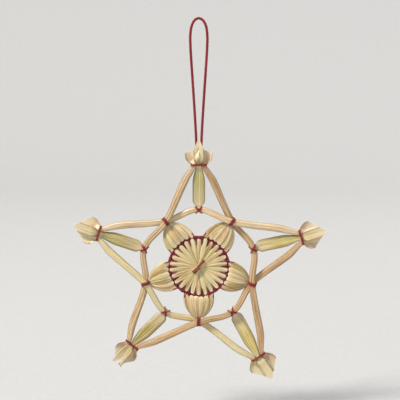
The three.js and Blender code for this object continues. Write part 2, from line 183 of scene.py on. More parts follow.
# The rim's strands in millimetres: how far out and back each lies, and how much it waves in
# between the blades
RIM_STRANDS = [
    (-0.24, 0.14, 0.03),
    (-0.02, 0.08, 0.0),
    (0.2, 0.14, 0.05),
    (0.04, -0.1, 0.14),
    (-0.4, 0.24, 0.04),
    (-0.62, 0.42, 0.06),
    (-0.9, 0.46, 0.05),
]

# The loop's left strand in millimetres, from the knot up to the top; the right one mirrors it.
LOOP_ROUTE = [
    (0.4, 1.9, -31.0),
    (0.46, 1.87, -29.6),
    (0.56, 1.75, -27.4),
    (0.72, 1.5, -24.0),
    (0.98, 1.18, -19.6),
    (1.3, 0.82, -14.6),
    (1.62, 0.5, -9.8),
    (1.84, 0.25, -6.0),
    (1.86, 0.08, -3.2),
    (1.55, 0.0, -1.3),
    (0.88, 0.0, -0.08),
]

# Stage
FLOOR_DROP = 9 * MM
FLOOR_REACH = 3.0
BACKDROP_DISTANCE = 0.45
BACKDROP_CURVE = 0.3

# Each light has its place and its target from the star's centre, its size, power and colour.
LIGHTS = [
    ("key", (-0.8, -0.5, 1.0), (0.0, 0.0, 0.0), 0.3, 23.0, (1.0, 0.97, 0.92)),
    ("fill", (1.0, -0.8, 0.2), (0.0, 0.0, 0.0), 0.9, 3.0, (0.93, 0.96, 1.0)),
    ("wash", (0.0, 0.1, 1.2), (0.0, 0.6, 0.0), 1.0, 6.0, (1.0, 0.99, 0.97)),
    ("back", (0.5, 0.35, 0.6), (0.0, 0.0, 0.0), 0.3, 3.0, (1.0, 0.98, 0.95)),
]


def make_camera():
    """A camera that looks down on the star a little."""
    low, high = (np.array(corner) for corner in CAD_BOX)
    target = (low + high) / 2
    elevation = math.radians(CAMERA_ELEVATION)
    eye = target + CAMERA_DISTANCE * np.array([0, -math.cos(elevation), math.sin(elevation)])
    data = bpy.data.cameras.new("camera")
    data.sensor_width = 36
    height_in_view = (high[2] - low[2]) * CAMERA_MARGIN
    data.lens = data.sensor_width * CAMERA_DISTANCE / height_in_view
    data.clip_start = 0.01
    data.clip_end = 20
    camera = bpy.data.objects.new("camera", data)
    camera.location = eye
    camera.rotation_mode = "QUATERNION"
    camera.rotation_quaternion = Vector(target - eye).to_track_quat("-Z", "Y")
    bpy.context.collection.objects.link(camera)
    bpy.context.scene.camera = camera


make_camera()
bpy.context.scene.view_settings.view_transform = "Standard"


# Materials


class Nodes:
    """A small helper that adds nodes and links to one material."""

    def __init__(self, name):
        self.material = bpy.data.materials.new(name)
        self.material.use_nodes = True
        self.tree = self.material.node_tree
        self.shader = self.tree.nodes["Principled BSDF"]

    def add(self, kind, **settings):
        node = self.tree.nodes.new(kind)
        for key, value in settings.items():
            setattr(node, key, value)
        return node

    def link(self, source, target):
        self.tree.links.new(source, target)

    def feed(self, socket, value):
        """Sets a socket to a number or a colour, or links it to another node's output."""
        if isinstance(value, (int, float)):
            socket.default_value = value
        elif isinstance(value, tuple):
            socket.default_value = (*value, 1)
        else:
            self.link(value, socket)

    def grain(self):
        return self.add("ShaderNodeUVMap", uv_map="grain").outputs["UV"]

    def attribute(self, name):
        return self.add("ShaderNodeAttribute", attribute_name=name).outputs["Fac"]

    def math(self, operation, a, b):
        node = self.add("ShaderNodeMath", operation=operation)
        self.feed(node.inputs[0], a)
        self.feed(node.inputs[1], b)
        return node.outputs[0]

    def total(self, a, share_a, b, share_b):
        """The sum of two values, each times its share."""
        part_a, part_b = self.math("MULTIPLY", a, share_a), self.math("MULTIPLY", b, share_b)
        return self.math("ADD", part_a, part_b)

    def noise(self, vector, squeeze=(1, 1, 1), scale=1.0, detail=3.0, roughness=0.55):
        """Noise that repeats more often along some axes of the vector than along others."""
        mapping = self.add("ShaderNodeMapping")
        mapping.inputs["Scale"].default_value = squeeze
        self.link(vector, mapping.inputs["Vector"])
        node = self.add("ShaderNodeTexNoise")
        node.inputs["Scale"].default_value = scale
        node.inputs["Detail"].default_value = detail
        node.inputs["Roughness"].default_value = roughness
        self.link(mapping.outputs["Vector"], node.inputs["Vector"])
        return node.outputs["Fac"]

    def ramp(self, factor, stops):
        node = self.add("ShaderNodeValToRGB")
        elements = node.color_ramp.elements
        while len(elements) < len(stops):
            elements.new(0.5)
        for element, (position, colour) in zip(elements, stops):
            element.position = position
            element.color = (*colour, 1)
        self.link(factor, node.inputs["Fac"])
        return node.outputs["Color"]

    def mix(self, factor, a, b, blend="MIX"):
        node = self.add("ShaderNodeMix", data_type="RGBA", blend_type=blend)
        self.feed(node.inputs[0], factor)
        self.feed(node.inputs[6], a)
        self.feed(node.inputs[7], b)
        return node.outputs[2]

    def bump(self, height, distance, strength):
        node = self.add("ShaderNodeBump")
        node.inputs["Distance"].default_value = distance
        node.inputs["Strength"].default_value = strength
        self.link(height, node.inputs["Height"])
        self.link(node.outputs["Normal"], self.shader.inputs["Normal"])


# How often straw's patterns repeat along the grain and across it
STREAKS = (0.1, 3.0, 1)
FIBRES = (0.3, 11, 1)
BLOTCHES = (0.3, 0.7, 1)
# Each straw has its own part of the patterns, set off by its tone times these.
TONE_OFFSETS = (97.0, 41.0)

# Straw's tints are multiplied with its own colour, and its pith and the dark of its creased
# sides, painted shade with the creases' own darker line, cover it.
UNTINTED = (1, 1, 1)
GREENISH = (0.92, 1.0, 0.8)
REDDISH = (1.0, 0.91, 0.82)
WARM = (1.0, 0.82, 0.6)
DARK_FIBRE = (0.6, 0.5, 0.38)
FRESH = (0.84, 1.0, 0.74)
PITH = (0.86, 0.74, 0.52)
# Painted shade on the straws' creased sides, with the creases' own darker line
CREASE_AND_SHADE = (0.13, 0.055, 0.016)


# Straw runs along U, in millimetres, and across V. "tone" is each straw's own shade, "pith" is 1
# on cut edges and inner faces, "fold" is 1 along the creased sides, which it darkens with painted
# shade and the creases' own darker line, and "fresh" is 1 where the straw is still green.
def straw_material(name, pale, mid, dark):
    n = Nodes(name)
    tone, pith, crease_and_shade, fresh = map(n.attribute, ("tone", "pith", "crease_and_shade", "fresh"))
    shift = n.add("ShaderNodeCombineXYZ")
    for socket, offset in zip(shift.inputs, TONE_OFFSETS):
        n.link(n.math("MULTIPLY", tone, offset), socket)
    shifted = n.add("ShaderNodeVectorMath", operation="ADD")
    n.link(n.grain(), shifted.inputs[0])
    n.link(shift.outputs["Vector"], shifted.inputs[1])
    grain = shifted.outputs["Vector"]
    streaks = n.noise(grain, STREAKS, detail=4.0, roughness=0.65)
    fibres = n.noise(grain, FIBRES, roughness=0.6)
    blotches = n.noise(grain, BLOTCHES, scale=0.7, detail=2.0)

    colour = n.ramp(n.total(streaks, 0.85, tone, 0.22), [(0.38, dark), (0.52, mid), (0.64, pale)])
    own = n.add("ShaderNodeTexWhiteNoise", noise_dimensions="1D")
    n.link(tone, own.inputs["W"])
    tint = n.ramp(own.outputs["Value"], [(0.1, GREENISH), (0.5, UNTINTED), (0.9, REDDISH)])
    colour = n.mix(0.8, colour, tint, "MULTIPLY")
    warmth = n.ramp(blotches, [(0.42, UNTINTED), (0.68, WARM)])
    colour = n.mix(0.6, colour, warmth, "MULTIPLY")
    fine = n.ramp(fibres, [(0.34, DARK_FIBRE), (0.58, UNTINTED)])
    colour = n.mix(0.65, colour, fine, "MULTIPLY")
    colour = n.mix(fresh, colour, FRESH, "MULTIPLY")
    colour = n.mix(n.math("MULTIPLY", pith, 0.8), colour, PITH)
    # Painted shade along the sides, darkest at the edges, with the creases' own darker line
    colour = n.mix(n.math("MULTIPLY", crease_and_shade, 0.75), colour, CREASE_AND_SHADE)
    n.link(colour, n.shader.inputs["Base Color"])

    rough = n.total(fibres, 0.2, pith, 0.3)
    n.link(n.math("ADD", rough, 0.2), n.shader.inputs["Roughness"])
    n.bump(n.total(fibres, 0.6, streaks, 0.4), 0.08 * MM, 0.9)
    n.shader.inputs["Coat Weight"].default_value = 0.4
    n.shader.inputs["Coat Roughness"].default_value = 0.2
    n.shader.inputs["Subsurface Weight"].default_value = 0.05
    n.shader.inputs["Subsurface Radius"].default_value = (0.5 * MM, 0.3 * MM, 0.12 * MM)
    n.shader.inputs["Subsurface Scale"].default_value = 1.0
    return n.material


# Thread is twisted from plies, and its fibres run along U.
def thread_material(name, bright, deep):
    n = Nodes(name)
    grain = n.grain()
    fibre = n.noise(grain, (2.2, 9, 1), scale=1.6, detail=4.0, roughness=0.65)
    wear = n.noise(grain, (0.2, 0.4, 1), detail=2.0)
    colour = n.ramp(n.total(fibre, 0.7, wear, 0.3), [(0.32, deep), (0.66, bright)])
    n.link(colour, n.shader.inputs["Base Color"])
    n.bump(fibre, 0.04 * MM, 0.8)
    n.shader.inputs["Roughness"].default_value = 0.78
    n.shader.inputs["Sheen Weight"].default_value = 0.35
    n.shader.inputs["Sheen Roughness"].default_value = 0.5
    n.shader.inputs["Sheen Tint"].default_value = (1.0, 0.5, 0.45, 1)
    return n.material


LONG_STRAW = straw_material(
    "long straw", pale=(0.87, 0.74, 0.52), mid=(0.70, 0.54, 0.32), dark=(0.37, 0.22, 0.10))
MIDDLE_STRAW = straw_material(
    "middle straw", pale=(0.80, 0.71, 0.40), mid=(0.61, 0.51, 0.23), dark=(0.30, 0.20, 0.07))
SPLINT = straw_material(
    "splint", pale=(0.85, 0.71, 0.48), mid=(0.67, 0.52, 0.29), dark=(0.35, 0.21, 0.09))
RED_THREAD = thread_material("red thread", bright=(0.36, 0.012, 0.018), deep=(0.10, 0.004, 0.006))


# Mesh building


class Shell:
    """Collects swept surfaces into one mesh, with a grain map and four attributes."""

    def __init__(self):
        self.points = []
        self.faces = []
        self.uvs = []
        self.levels = {"tone": [], "pith": [], "crease_and_shade": [], "fresh": []}
        self.count = 0

    def sweep(self, rings, lengths, tone, pith=0.0, crease_and_shade=0.0, fresh=0.0):
        """Joins rings of points, one array of shape (rings, points, 3), with quads and end caps."""
        steps, around, _ = rings.shape
        start = self.count
        self.points.append(rings.reshape(-1, 3))
        self.count += steps * around
        for label, level in zip(self.levels, (tone, pith, crease_and_shade, fresh)):
            full = np.broadcast_to(np.asarray(level, dtype=float), (steps, around))
            self.levels[label].append(full.reshape(-1))
        girth = float(np.linalg.norm(np.diff(rings, axis=1), axis=2).sum(axis=1).max())
        v = np.linspace(0, girth / MM, around + 1)
        u = np.asarray(lengths) / MM
        for i in range(steps - 1):
            a = start + i * around
            b = a + around
            for j in range(around):
                k = (j + 1) % around
                self.faces.append((a + j, a + k, b + k, b + j))
                self.uvs += [(u[i], v[j]), (u[i], v[j + 1]), (u[i + 1], v[j + 1]), (u[i + 1], v[j])]
        self.cap(start, around, u[0], v, False)
        self.cap(start + (steps - 1) * around, around, u[-1], v, True)

    def cap(self, start, around, u, v, is_last):
        for j in range(around // 2 - 1):
            k = around - 1 - j
            face = (start + j, start + j + 1, start + k - 1, start + k)
            marks = [(u, v[j]), (u, v[j + 1]), (u, v[k - 1]), (u, v[k])]
            if not is_last:
                face = face[::-1]
                marks = marks[::-1]
            self.faces.append(face)
            self.uvs += marks

    def make(self, name, material, nodes):
        mesh = bpy.data.meshes.new(name)
        mesh.from_pydata(np.concatenate(self.points).tolist(), [], self.faces)
        layer = mesh.uv_layers.new(name="grain")
        layer.data.foreach_set("uv", np.array(self.uvs, dtype=np.float32).reshape(-1))
        for label, values in self.levels.items():
            attribute = mesh.attributes.new(label, "FLOAT", "POINT")
            attribute.data.foreach_set("value", np.concatenate(values).astype(np.float32))
        mesh.polygons.foreach_set("use_smooth", [True] * len(mesh.polygons))
        mesh.materials.append(material)
        mesh.validate()
        mesh.update()
        mesh.set_sharp_from_angle(angle=math.radians(SHARP_ANGLE))
        piece = bpy.data.objects.new(name, mesh)
        bpy.context.collection.objects.link(piece)
        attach(piece, "root")
        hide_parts(*nodes)
        return piece


def unit(vectors):
    return vectors / np.linalg.norm(vectors, axis=-1, keepdims=True)


def star_point(angle, out, aside=0.0, depth=0.0):
    """A point out from the star's centre at an angle, and aside and back from there."""
    a = math.radians(angle)
    x = out * math.cos(a) - aside * math.sin(a)
    z = out * math.sin(a) + aside * math.cos(a)
    return CENTRE + np.array([x, depth, z])


def star_vector(angle, out, aside=0.0):
    """The way from the star's centre to such a point."""
    return star_point(angle, out, aside) - CENTRE


def arm_angle(arm):
    return 90 + ARM_STEP * arm


def tie_angle(arm):
    return arm_angle(arm) + ARM_TURNS[arm % ARMS]


def tie_radius(arm):
    return TIE_RADIUS * ARM_REACHES[arm % ARMS]


def smooth_line(points, per_span):
    """A centripetal Catmull-Rom line through the points, with a share for each sample."""
    p = [np.array(q, dtype=float) for q in points]
    p = [2 * p[0] - p[1], *p, 2 * p[-1] - p[-2]]
    line = []
    shares = []
    for i in range(1, len(p) - 2):
        before, here, there, after = p[i - 1:i + 3]
        d0, d1, d2 = (max(np.linalg.norm(p[i + j] - p[i + j - 1]) ** 0.5, 1e-6) for j in (0, 1, 2))
        t1 = ((here - before) / d0 - (there - before) / (d0 + d1) + (there - here) / d1) * d1
        t2 = ((there - here) / d1 - (after - here) / (d1 + d2) + (after - there) / d2) * d1
        c2 = -3 * here + 3 * there - 2 * t1 - t2
        c3 = 2 * here - 2 * there + t1 + t2
        last = per_span + 1 if i == len(p) - 3 else per_span
        for step in range(last):
            t = step / per_span
            line.append(here + t1 * t + c2 * t * t + c3 * t ** 3)
            shares.append(i - 1 + t)
    return np.array(line), np.array(shares)


def lengths_along(line):
    return np.concatenate([[0], np.cumsum(np.linalg.norm(np.diff(line, axis=0), axis=1))])


def tangents(line):
    return unit(np.gradient(line, axis=0))


def flat_straw(shell, line, width, thickness, tone, squareness, pith_ends, ribs=3, cup=0.0,
               groove=0.0, cuts=(SQUARE_CUT, SQUARE_CUT), crease_and_shade_strength=1.0, fresh=0.0):
    """One flattened straw along a line. Its sizes are given per point or once for all.

    squareness is how full its section is. cup bends its edges forward, and groove presses a
    valley along its middle. Each cut is a notch, which is how far in the end's middle is cut, and
    a slant, which is how much farther in its right edge is, seen along the line. pith_ends is how
    far in from its ends pith shows, crease is how dark its folded sides are, painted shade where
    they turn from the light with the creases' own darker line, and fresh is how green it is.
    """
    steps = len(line)
    along = tangents(line)
    across = unit(np.cross(along, FRONT))
    forward = unit(np.cross(across, along))
    width, thickness, cup, groove, crease_and_shade_strength, fresh = (
        np.broadcast_to(value, steps)[:, None]
        for value in (width, thickness, cup, groove, crease_and_shade_strength, fresh)
    )
    u = np.sin(np.linspace(-math.pi / 2, math.pi / 2, ACROSS))
    lens = (1 - np.abs(u) ** squareness) ** (1 / squareness)
    lens = FOLD_THICKNESS + (1 - FOLD_THICKNESS) * lens
    ridges = RIB_HEIGHT * np.cos(math.pi * ribs * u + rng.uniform(0, RIB_PHASES))
    middle = cup * u ** 2
    top = middle + thickness * (lens / 2 + ridges) - groove * np.exp(-(u / GROOVE_WIDTH) ** 2)
    bottom = middle - thickness * (lens / 2 - ridges * BACK_RIBS)
    side = width / 2 * u
    offsets = np.concatenate([side, side[:, ::-1]], axis=1)
    heights = np.concatenate([top, bottom[:, ::-1]], axis=1)
    rings = (line[:, None, :] + offsets[..., None] * across[:, None, :]
             + heights[..., None] * forward[:, None, :])

    ring_u = np.concatenate([u, u[::-1]])
    distance = lengths_along(line)
    remaining = distance[-1] - distance
    for (notch, slant), from_end, sign in zip(cuts, (distance, remaining), (1, -1)):
        reach = max(abs(notch), abs(slant), LEAST_CUT) * CUT_FADE
        fade = np.clip(1 - from_end / reach, 0, 1)[:, None]
        inset = notch * (1 - np.abs(ring_u)) + slant * ring_u
        rings = rings + (fade * inset * sign)[..., None] * along[:, None, :]

    ends = np.clip(1 - np.minimum(distance, remaining) / pith_ends, 0, 1)
    pith = np.repeat((ends ** 1.5)[:, None] * END_PITH, 2 * ACROSS, axis=1)
    pith[:, ACROSS:] = np.maximum(pith[:, ACROSS:], BACK_PITH)
    # Painted shade on the folded sides, strongest at the edges, with the creases' own darker line
    crease_and_shade = np.abs(ring_u) ** 5 * crease_and_shade_strength
    shell.sweep(rings, distance, tone, pith, crease_and_shade, fresh)


def spread(shares, knots):
    """Values between the stations, eased."""
    low = np.clip(np.floor(shares).astype(int), 0, len(knots) - 2)
    t = shares - low
    t = t * t * (3 - 2 * t)
    knots = np.array(knots, dtype=float)
    return knots[low] * (1 - t) + knots[low + 1] * t


def tapers(shares, knots, soft=5):
    """Values between the stations in straight tapers, with corners softened over some samples."""
    plain = np.interp(shares, np.arange(len(knots)), knots)
    return np.convolve(np.pad(plain, soft // 2, mode="edge"), np.full(soft, 1 / soft), "valid")


def wobble(steps, size, waves):
    """A gentle uneven wave, as a natural stalk has."""
    t = np.linspace(0, 1, steps)
    total = np.zeros(steps)
    for k in range(1, waves + 1):
        total += rng.normal(0, 1 / k) * np.sin(2 * math.pi * (k * t + rng.uniform()))
    # Together the waves reach about 1.5 times as far as the first one.
    return size * total / 1.5


# Straws


def mirrored(half, middle):
    """Values from one end to the other of a piece whose two halves are alike."""
    return [*half, middle, *half[::-1]]


# A blade's stations from its tip in, as shares of its length, spread and width
BLADE_STATIONS = [(1, 1, 1), (0.55, 0.95, 1), (0.28, 0.8, 0.78)]
CROWN_WIDTHS = [CROWN_BLADE_WIDTH * width for _, _, width in BLADE_STATIONS]
CROWN_THICKNESSES = [CROWN_THICKNESS] * len(BLADE_STATIONS)
# How far the blades' edges turn forward, like a petal's, at each station
CROWN_CUPS = [0.3 * MM, 0.55 * MM, 0.5 * MM]

# A long straw's stations are its blade's, the outer tie, the arm, the crossing and the inner ring.
LONG_WIDTHS = mirrored([*CROWN_WIDTHS, NECK_WIDTH, STRAW_WIDTH, RING_WIDTH], RING_WIDTH * 0.92)
LONG_THICKNESSES = mirrored(
    [*CROWN_THICKNESSES, 0.8 * STRAW_THICKNESS, STRAW_THICKNESS, 0.95 * STRAW_THICKNESS],
    0.85 * STRAW_THICKNESS)
LONG_CUPS = mirrored([*CROWN_CUPS, 0, 0, 0], 0)
LONG_GROOVES = mirrored([0, 0, 0, 0.04 * MM, 0.05 * MM, 0.08 * MM], 0.1 * MM)

# A middle straw's stations are its blade's, the outer tie, the arm, its shoulder and its two at
# the inner ring. Its blade is fuller at its foot than the side ones, and covers their edges there.
MIDDLE_WIDTHS = [*CROWN_WIDTHS[:2], CROWN_WIDTHS[2] * 1.25, MIDDLE_NECK_WIDTH, MIDDLE_WIDTH,
                 MIDDLE_WIDTH, MIDDLE_END_WIDTH, MIDDLE_END_WIDTH]
MIDDLE_THICKNESSES = [*CROWN_THICKNESSES, *[MIDDLE_THICKNESS] * 5]
MIDDLE_CUPS = [0.05 * MM, 0.12 * MM, 0.3 * MM, 0, -0.12 * MM, -0.1 * MM, 0, 0]
MIDDLE_GROOVES = [0.1 * MM, 0.06 * MM, 0, 0.1 * MM, 0.16 * MM, 0.14 * MM, 0.05 * MM, 0]
MIDDLE_FRESHNESS = [0, 0, 0.2, 0.4, 0.5, 0.1, 0, 0]


def crown_points(arm, side):
    """A blade's points from its tip in to the tie. side is 0 for a crown's middle blade."""
    angle, radius = tie_angle(arm), tie_radius(arm)
    arm %= ARMS
    if side == 0:
        depth, length = -CROWN_DEPTH, CROWN_LENGTH * CROWN_LENGTHS[arm]
    else:
        depth, length = CROWN_DEPTH, CROWN_SIDE_LENGTH * CROWN_SIDE_LENGTHS[arm]
    aside = side * CROWN_SPREAD * CROWN_SPREADS[arm]
    points = [
        star_point(angle, radius + length * share, aside * spread_share, depth)
        for share, spread_share, _ in BLADE_STATIONS
    ]
    return [*points, star_point(angle, radius, side * NECK_OFFSET)]


def long_straw(arm):
    """Runs from an arm's crown to the next but one, over one crossing and under another."""
    between = arm_angle(arm) + ARM_STEP / 2
    front = star_point(between, VERTEX_RADIUS, 0, -CROSSING_DEPTH)
    back = star_point(between + ARM_STEP, VERTEX_RADIUS, 0, CROSSING_DEPTH)
    first_crown = crown_points(arm, 1)
    last_crown = crown_points(arm + 2, -1)[::-1]
    first_bow = star_vector(arm_angle(arm), 0, ARM_BOW)
    last_bow = star_vector(arm_angle(arm + 2), 0, -ARM_BOW)
    points = [
        *first_crown,
        front + (first_crown[-1] - front) * ARM_FULL_SHARE + first_bow,
        front,
        star_point(arm_angle(arm + 1), MID_RADIUS),
        back,
        back + (last_crown[0] - back) * ARM_FULL_SHARE + last_bow,
        *last_crown,
    ]
    line, shares = smooth_line(points, SPAN_SAMPLES)
    width = tapers(shares, LONG_WIDTHS) * (1 + wobble(len(line), 0.03, 5))
    cuts = [(0.0, CROWN_BLADE_WIDTH * CROWN_SLANTS[end % ARMS]) for end in (arm, arm + 2)]
    shell = Shell()
    flat_straw(
        shell, line, width, spread(shares, LONG_THICKNESSES), rng.uniform(0.15, 0.95),
        squareness=2.1, pith_ends=4.5 * MM, cup=spread(shares, LONG_CUPS),
        groove=spread(shares, LONG_GROOVES), cuts=cuts,
    )
    shell.make(f"straw_long_{arm + 1}", LONG_STRAW, [f"long_straw_{arm + 1}"])


def middle_straw(arm):
    """Runs along the middle of an arm, from its crown to the back of the inner ring."""
    angle = arm_angle(arm)
    ring_edge = MID_RADIUS + RING_WIDTH / 2
    shoulder = star_point(angle, ring_edge + MIDDLE_WIDTH / 3, 0, MIDDLE_BACK_DEPTH)
    crown = crown_points(arm, 0)
    points = [
        *crown,
        shoulder + (crown[-1] - shoulder) * MIDDLE_FULL_SHARE,
        shoulder,
        star_point(angle, ring_edge, 0, MIDDLE_BACK_DEPTH),
        star_point(angle, MID_RADIUS - RING_WIDTH / 2, 0, MIDDLE_BACK_DEPTH),
    ]
    line, shares = smooth_line(points, SPAN_SAMPLES)
    notch = CROWN_BLADE_WIDTH * CROWN_NOTCHES[arm]
    shell = Shell()
    flat_straw(
        shell, line, tapers(shares, MIDDLE_WIDTHS), spread(shares, MIDDLE_THICKNESSES),
        rng.uniform(0.15, 0.9), squareness=2.8, pith_ends=7.0 * MM,
        cup=spread(shares, MIDDLE_CUPS), groove=spread(shares, MIDDLE_GROOVES),
        cuts=((notch, 0.0), SQUARE_CUT), fresh=spread(shares, MIDDLE_FRESHNESS),
    )
    shell.make(f"straw_middle_{arm + 1}", MIDDLE_STRAW, [f"middle_straw_{arm + 1}"])


def rounded_end(distance, total, width):
    """Narrows a splint to a round end at its last point."""
    left = np.clip((total - distance) / (0.5 * width), 0, 1)
    return np.maximum((1 - (1 - left) ** END_ROUNDNESS) ** (1 / END_ROUNDNESS), END_LEAST)


def fan(arm):
    """Splints side by side like a shell, from where two long straws cross in to the rim."""
    angle = arm_angle(arm) + ARM_STEP / 2
    start = VERTEX_RADIUS - FAN_NECK
    share = np.linspace(0, 1, 30)
    # The splints spread quickly from the neck, and are widest apart a little before the rim.
    bow = 0.16 + 0.88 * np.sin(0.6 * math.pi * share) ** 0.6
    shell = Shell()
    for k in range(FAN_SPLINTS):
        aside = (k + 0.5) * FAN_PITCH - FAN_WIDTH / 2
        end = math.sqrt((FAN_END_RADIUS - FAN_TUCK) ** 2 - aside ** 2) + rng.uniform(-0.1, 0.1) * MM
        # The shell is cupped: its middle is in front of its sides, and it dips at the rim.
        outness = abs(aside) / (FAN_WIDTH / 2)
        depth = FAN_BACKSET - FAN_CUP * np.sin(share * math.pi * 0.8) * (1.1 - outness ** 2)
        line = np.array([
            star_point(angle, start + (end - start) * s, aside * b, d)
            for s, b, d in zip(share, bow, depth)
        ])
        distance = lengths_along(line)
        spacing = FAN_PITCH * (bow + 0.04)
        width = FAN_OVERLAP * spacing * rounded_end(distance, distance[-1], FAN_PITCH)
        thickness = SPLINT_THICKNESS * (0.7 + 0.3 * share)
        # Its splints get less painted shade on their sides than a long straw does.
        flat_straw(shell, line, width, thickness, rng.uniform(0.1, 1.0), squareness=2.3,
                   pith_ends=1.5 * MM, ribs=2, crease_and_shade_strength=0.6, fresh=0.15)
    shell.make(f"fan_splints_{arm + 1}", SPLINT, [f"fan_{arm + 1}"])


def rosette():
    """Splints that cross at the star's centre, stacked there and pressed flat."""
    share = np.sin(np.linspace(-math.pi / 2, math.pi / 2, 71))
    shell = Shell()
    for k in range(ROSETTE_SPLINTS):
        angle = 90 + 180 * k / ROSETTE_SPLINTS
        stack = ROSETTE_STACK * (1 - 2 * k / (ROSETTE_SPLINTS - 1)) / 2
        first, last = ROSETTE_RADIUS * rng.uniform(1.01, 1.06, 2)
        reach = np.where(share < 0, first, last)
        radius = reach * share
        r = np.abs(radius) / ROSETTE_RADIUS
        within = np.clip(r, 0, 1)
        # The stack flattens out by about 0.6 of the way to the rim.
        settle = np.clip(1 - r * 1.6, 0, 1)
        depth = stack * settle - ROSETTE_BULGE * np.sin(within * math.pi)
        line = np.array([star_point(angle, q, 0, d) for q, d in zip(radius, depth)])
        # Each splint fills its share of the circle. It is pressed wide in the middle, and narrows
        # towards its end, so that it leaves a gap there.
        fill = 2 * math.pi * np.abs(radius) / ROSETTE_BLADES
        pressed = np.clip((0.75 - r) / 0.35, 0, 1)
        narrowing = np.clip((r - 0.66) / 0.34, 0, 1)
        width = np.maximum(ROSETTE_LEAST_WIDTH, fill * (1.12 + 0.3 * pressed - 0.42 * narrowing))
        ends = rounded_end(np.abs(radius), reach, ROSETTE_END_WIDTH)
        thickness = SPLINT_THICKNESS * (0.55 + 0.6 * r ** 2)
        # The painted shade on its splints' sides fades where they are pressed flat.
        flat_straw(shell, line, width * ends, thickness, rng.uniform(0.2, 1.0), squareness=2.2,
                   pith_ends=1.9 * MM, ribs=2, crease_and_shade_strength=1 - 0.85 * pressed,
                   fresh=0.4 - 0.35 * within ** 2)
    shell.make("rosette_splints", SPLINT, ["rosette"])


# Thread


def frames_along(line):
    """Normals and binormals that turn as little as they can along the line."""
    along = tangents(line)
    # No thread starts out along this direction.
    start = np.cross(along[0], [0.3, 0.5, 0.81])
    normal = [start / np.linalg.norm(start)]
    for t in along[1:]:
        n = normal[-1] - t * np.dot(normal[-1], t)
        normal.append(n / np.linalg.norm(n))
    normal = np.array(normal)
    return normal, np.cross(along, normal)


def resampled(line, step):
    distance = lengths_along(line)
    count = max(int(distance[-1] / step), 8)
    wanted = np.linspace(0, distance[-1], count + 1)
    return np.stack([np.interp(wanted, distance, line[:, k]) for k in range(3)], axis=1)


def twisted_thread(shell, line, diameter, sides=6, plies=2):
    """Plies wound round each other along a line, like sewing thread."""
    pitch = diameter * TWIST_PITCH
    line = resampled(line, pitch / TWIST_STEPS)
    distance = lengths_along(line)
    normal, binormal = frames_along(line)
    ply = diameter * PLY_RADIUS
    size = np.full(len(line), ply)
    size[0] = size[-1] = ply * PLY_END
    around = np.linspace(0, 2 * math.pi, sides, endpoint=False)
    for k in range(plies):
        turn = 2 * math.pi * (distance / pitch + k / plies)
        radial = np.cos(turn)[:, None] * normal + np.sin(turn)[:, None] * binormal
        centre = line + radial * (diameter / 2 - ply)
        ply_normal, ply_binormal = frames_along(centre)
        ring = (np.cos(around)[None, :, None] * ply_normal[:, None, :]
                + np.sin(around)[None, :, None] * ply_binormal[:, None, :])
        rings = centre[:, None, :] + ring * size[:, None, None]
        shell.sweep(rings, distance, k / plies)


def oval(turn, squareness):
    power = 2 / squareness
    c, s = np.cos(turn), np.sin(turn)
    return np.sign(c) * np.abs(c) ** power, np.sign(s) * np.abs(s) ** power


def wrap(centre, direction, axis, half_length, half_depth, turns, pitch, squareness, phase=0.0):
    """Turns of thread round a bundle, in the plane of one direction and of the depth."""
    t = np.linspace(0, turns, int(turns * TIE_SAMPLES))
    a, b = oval(2 * math.pi * t + phase, squareness)
    slide = (t - turns / 2) * pitch
    return (centre + a[:, None] * half_length * direction + b[:, None] * half_depth * FRONT
            + slide[:, None] * axis)


def small_knot(centre, size, direction, axis):
    """An overhand knot's curve."""
    t = np.linspace(0.15, 2 * math.pi + 0.05, 90)
    x = np.sin(t) + 2 * np.sin(2 * t)
    y = np.cos(t) - 2 * np.cos(2 * t)
    z = -np.sin(3 * t)
    return (centre + size / 6 * (x[:, None] * direction + y[:, None] * axis)
            + size / 5 * z[:, None] * FRONT)


def tail(start, direction, length, droop):
    """A short loose end of thread."""
    t = np.linspace(0, 1, 14)[:, None]
    return start + direction * length * t - UP * droop * t ** 2


def outer_tie(arm):
    """Thread round the three straws under a crown."""
    angle = tie_angle(arm)
    centre = star_point(angle, tie_radius(arm))
    out, aside = star_vector(angle, 1), star_vector(angle, 0, 1)
    half_length = NECK_OFFSET + NECK_WIDTH / 2 + THREAD / 2
    half_depth = STRAW_THICKNESS / 2 + THREAD / 2 + 0.02 * MM
    shell = Shell()
    turns = wrap(centre, aside, out, half_length, half_depth, turns=2.0, pitch=TIE_PITCH,
                 squareness=4.0, phase=rng.uniform(0, 3))
    twisted_thread(shell, turns, THREAD)
    # The upper arm's tie has no knot of its own in front: the loop is knotted behind it.
    knot_at = centre + aside * rng.uniform(-0.6, 0.6) * MM + FRONT * -(half_depth + 0.25 * MM)
    if arm:
        twisted_thread(shell, small_knot(knot_at, 0.85 * MM, aside, out), THREAD * 0.85)
    shell.make(f"tie_outer_{arm + 1}", RED_THREAD, [f"outer_tie_{arm + 1}"])


def mid_tie(arm):
    """Crossed thread that ties a middle straw to the inner ring."""
    angle = arm_angle(arm)
    half = max(RING_WIDTH, MIDDLE_END_WIDTH) / 2 + THREAD / 2 + 0.04 * MM
    front = -STRAW_THICKNESS / 2
    back = MIDDLE_BACK_DEPTH + MIDDLE_THICKNESS / 2
    centre = star_point(angle, MID_RADIUS - 0.1 * MM, 0, (front + back) / 2)
    slope = math.sqrt(0.5)
    shell = Shell()
    for hand in (1, -1):
        diagonal = star_vector(angle, slope, hand * slope)
        axis = star_vector(angle, slope, -hand * slope)
        depth = (back - front) / 2 + THREAD / 2 + (0.1 * MM if hand > 0 else 0)
        turns = wrap(centre, diagonal, axis, half * 1.12, depth, turns=1.3, pitch=THREAD * 0.9,
                     squareness=2.6)
        twisted_thread(shell, turns, THREAD)
    shell.make(f"tie_mid_{arm + 1}", RED_THREAD, [f"mid_tie_{arm + 1}"])


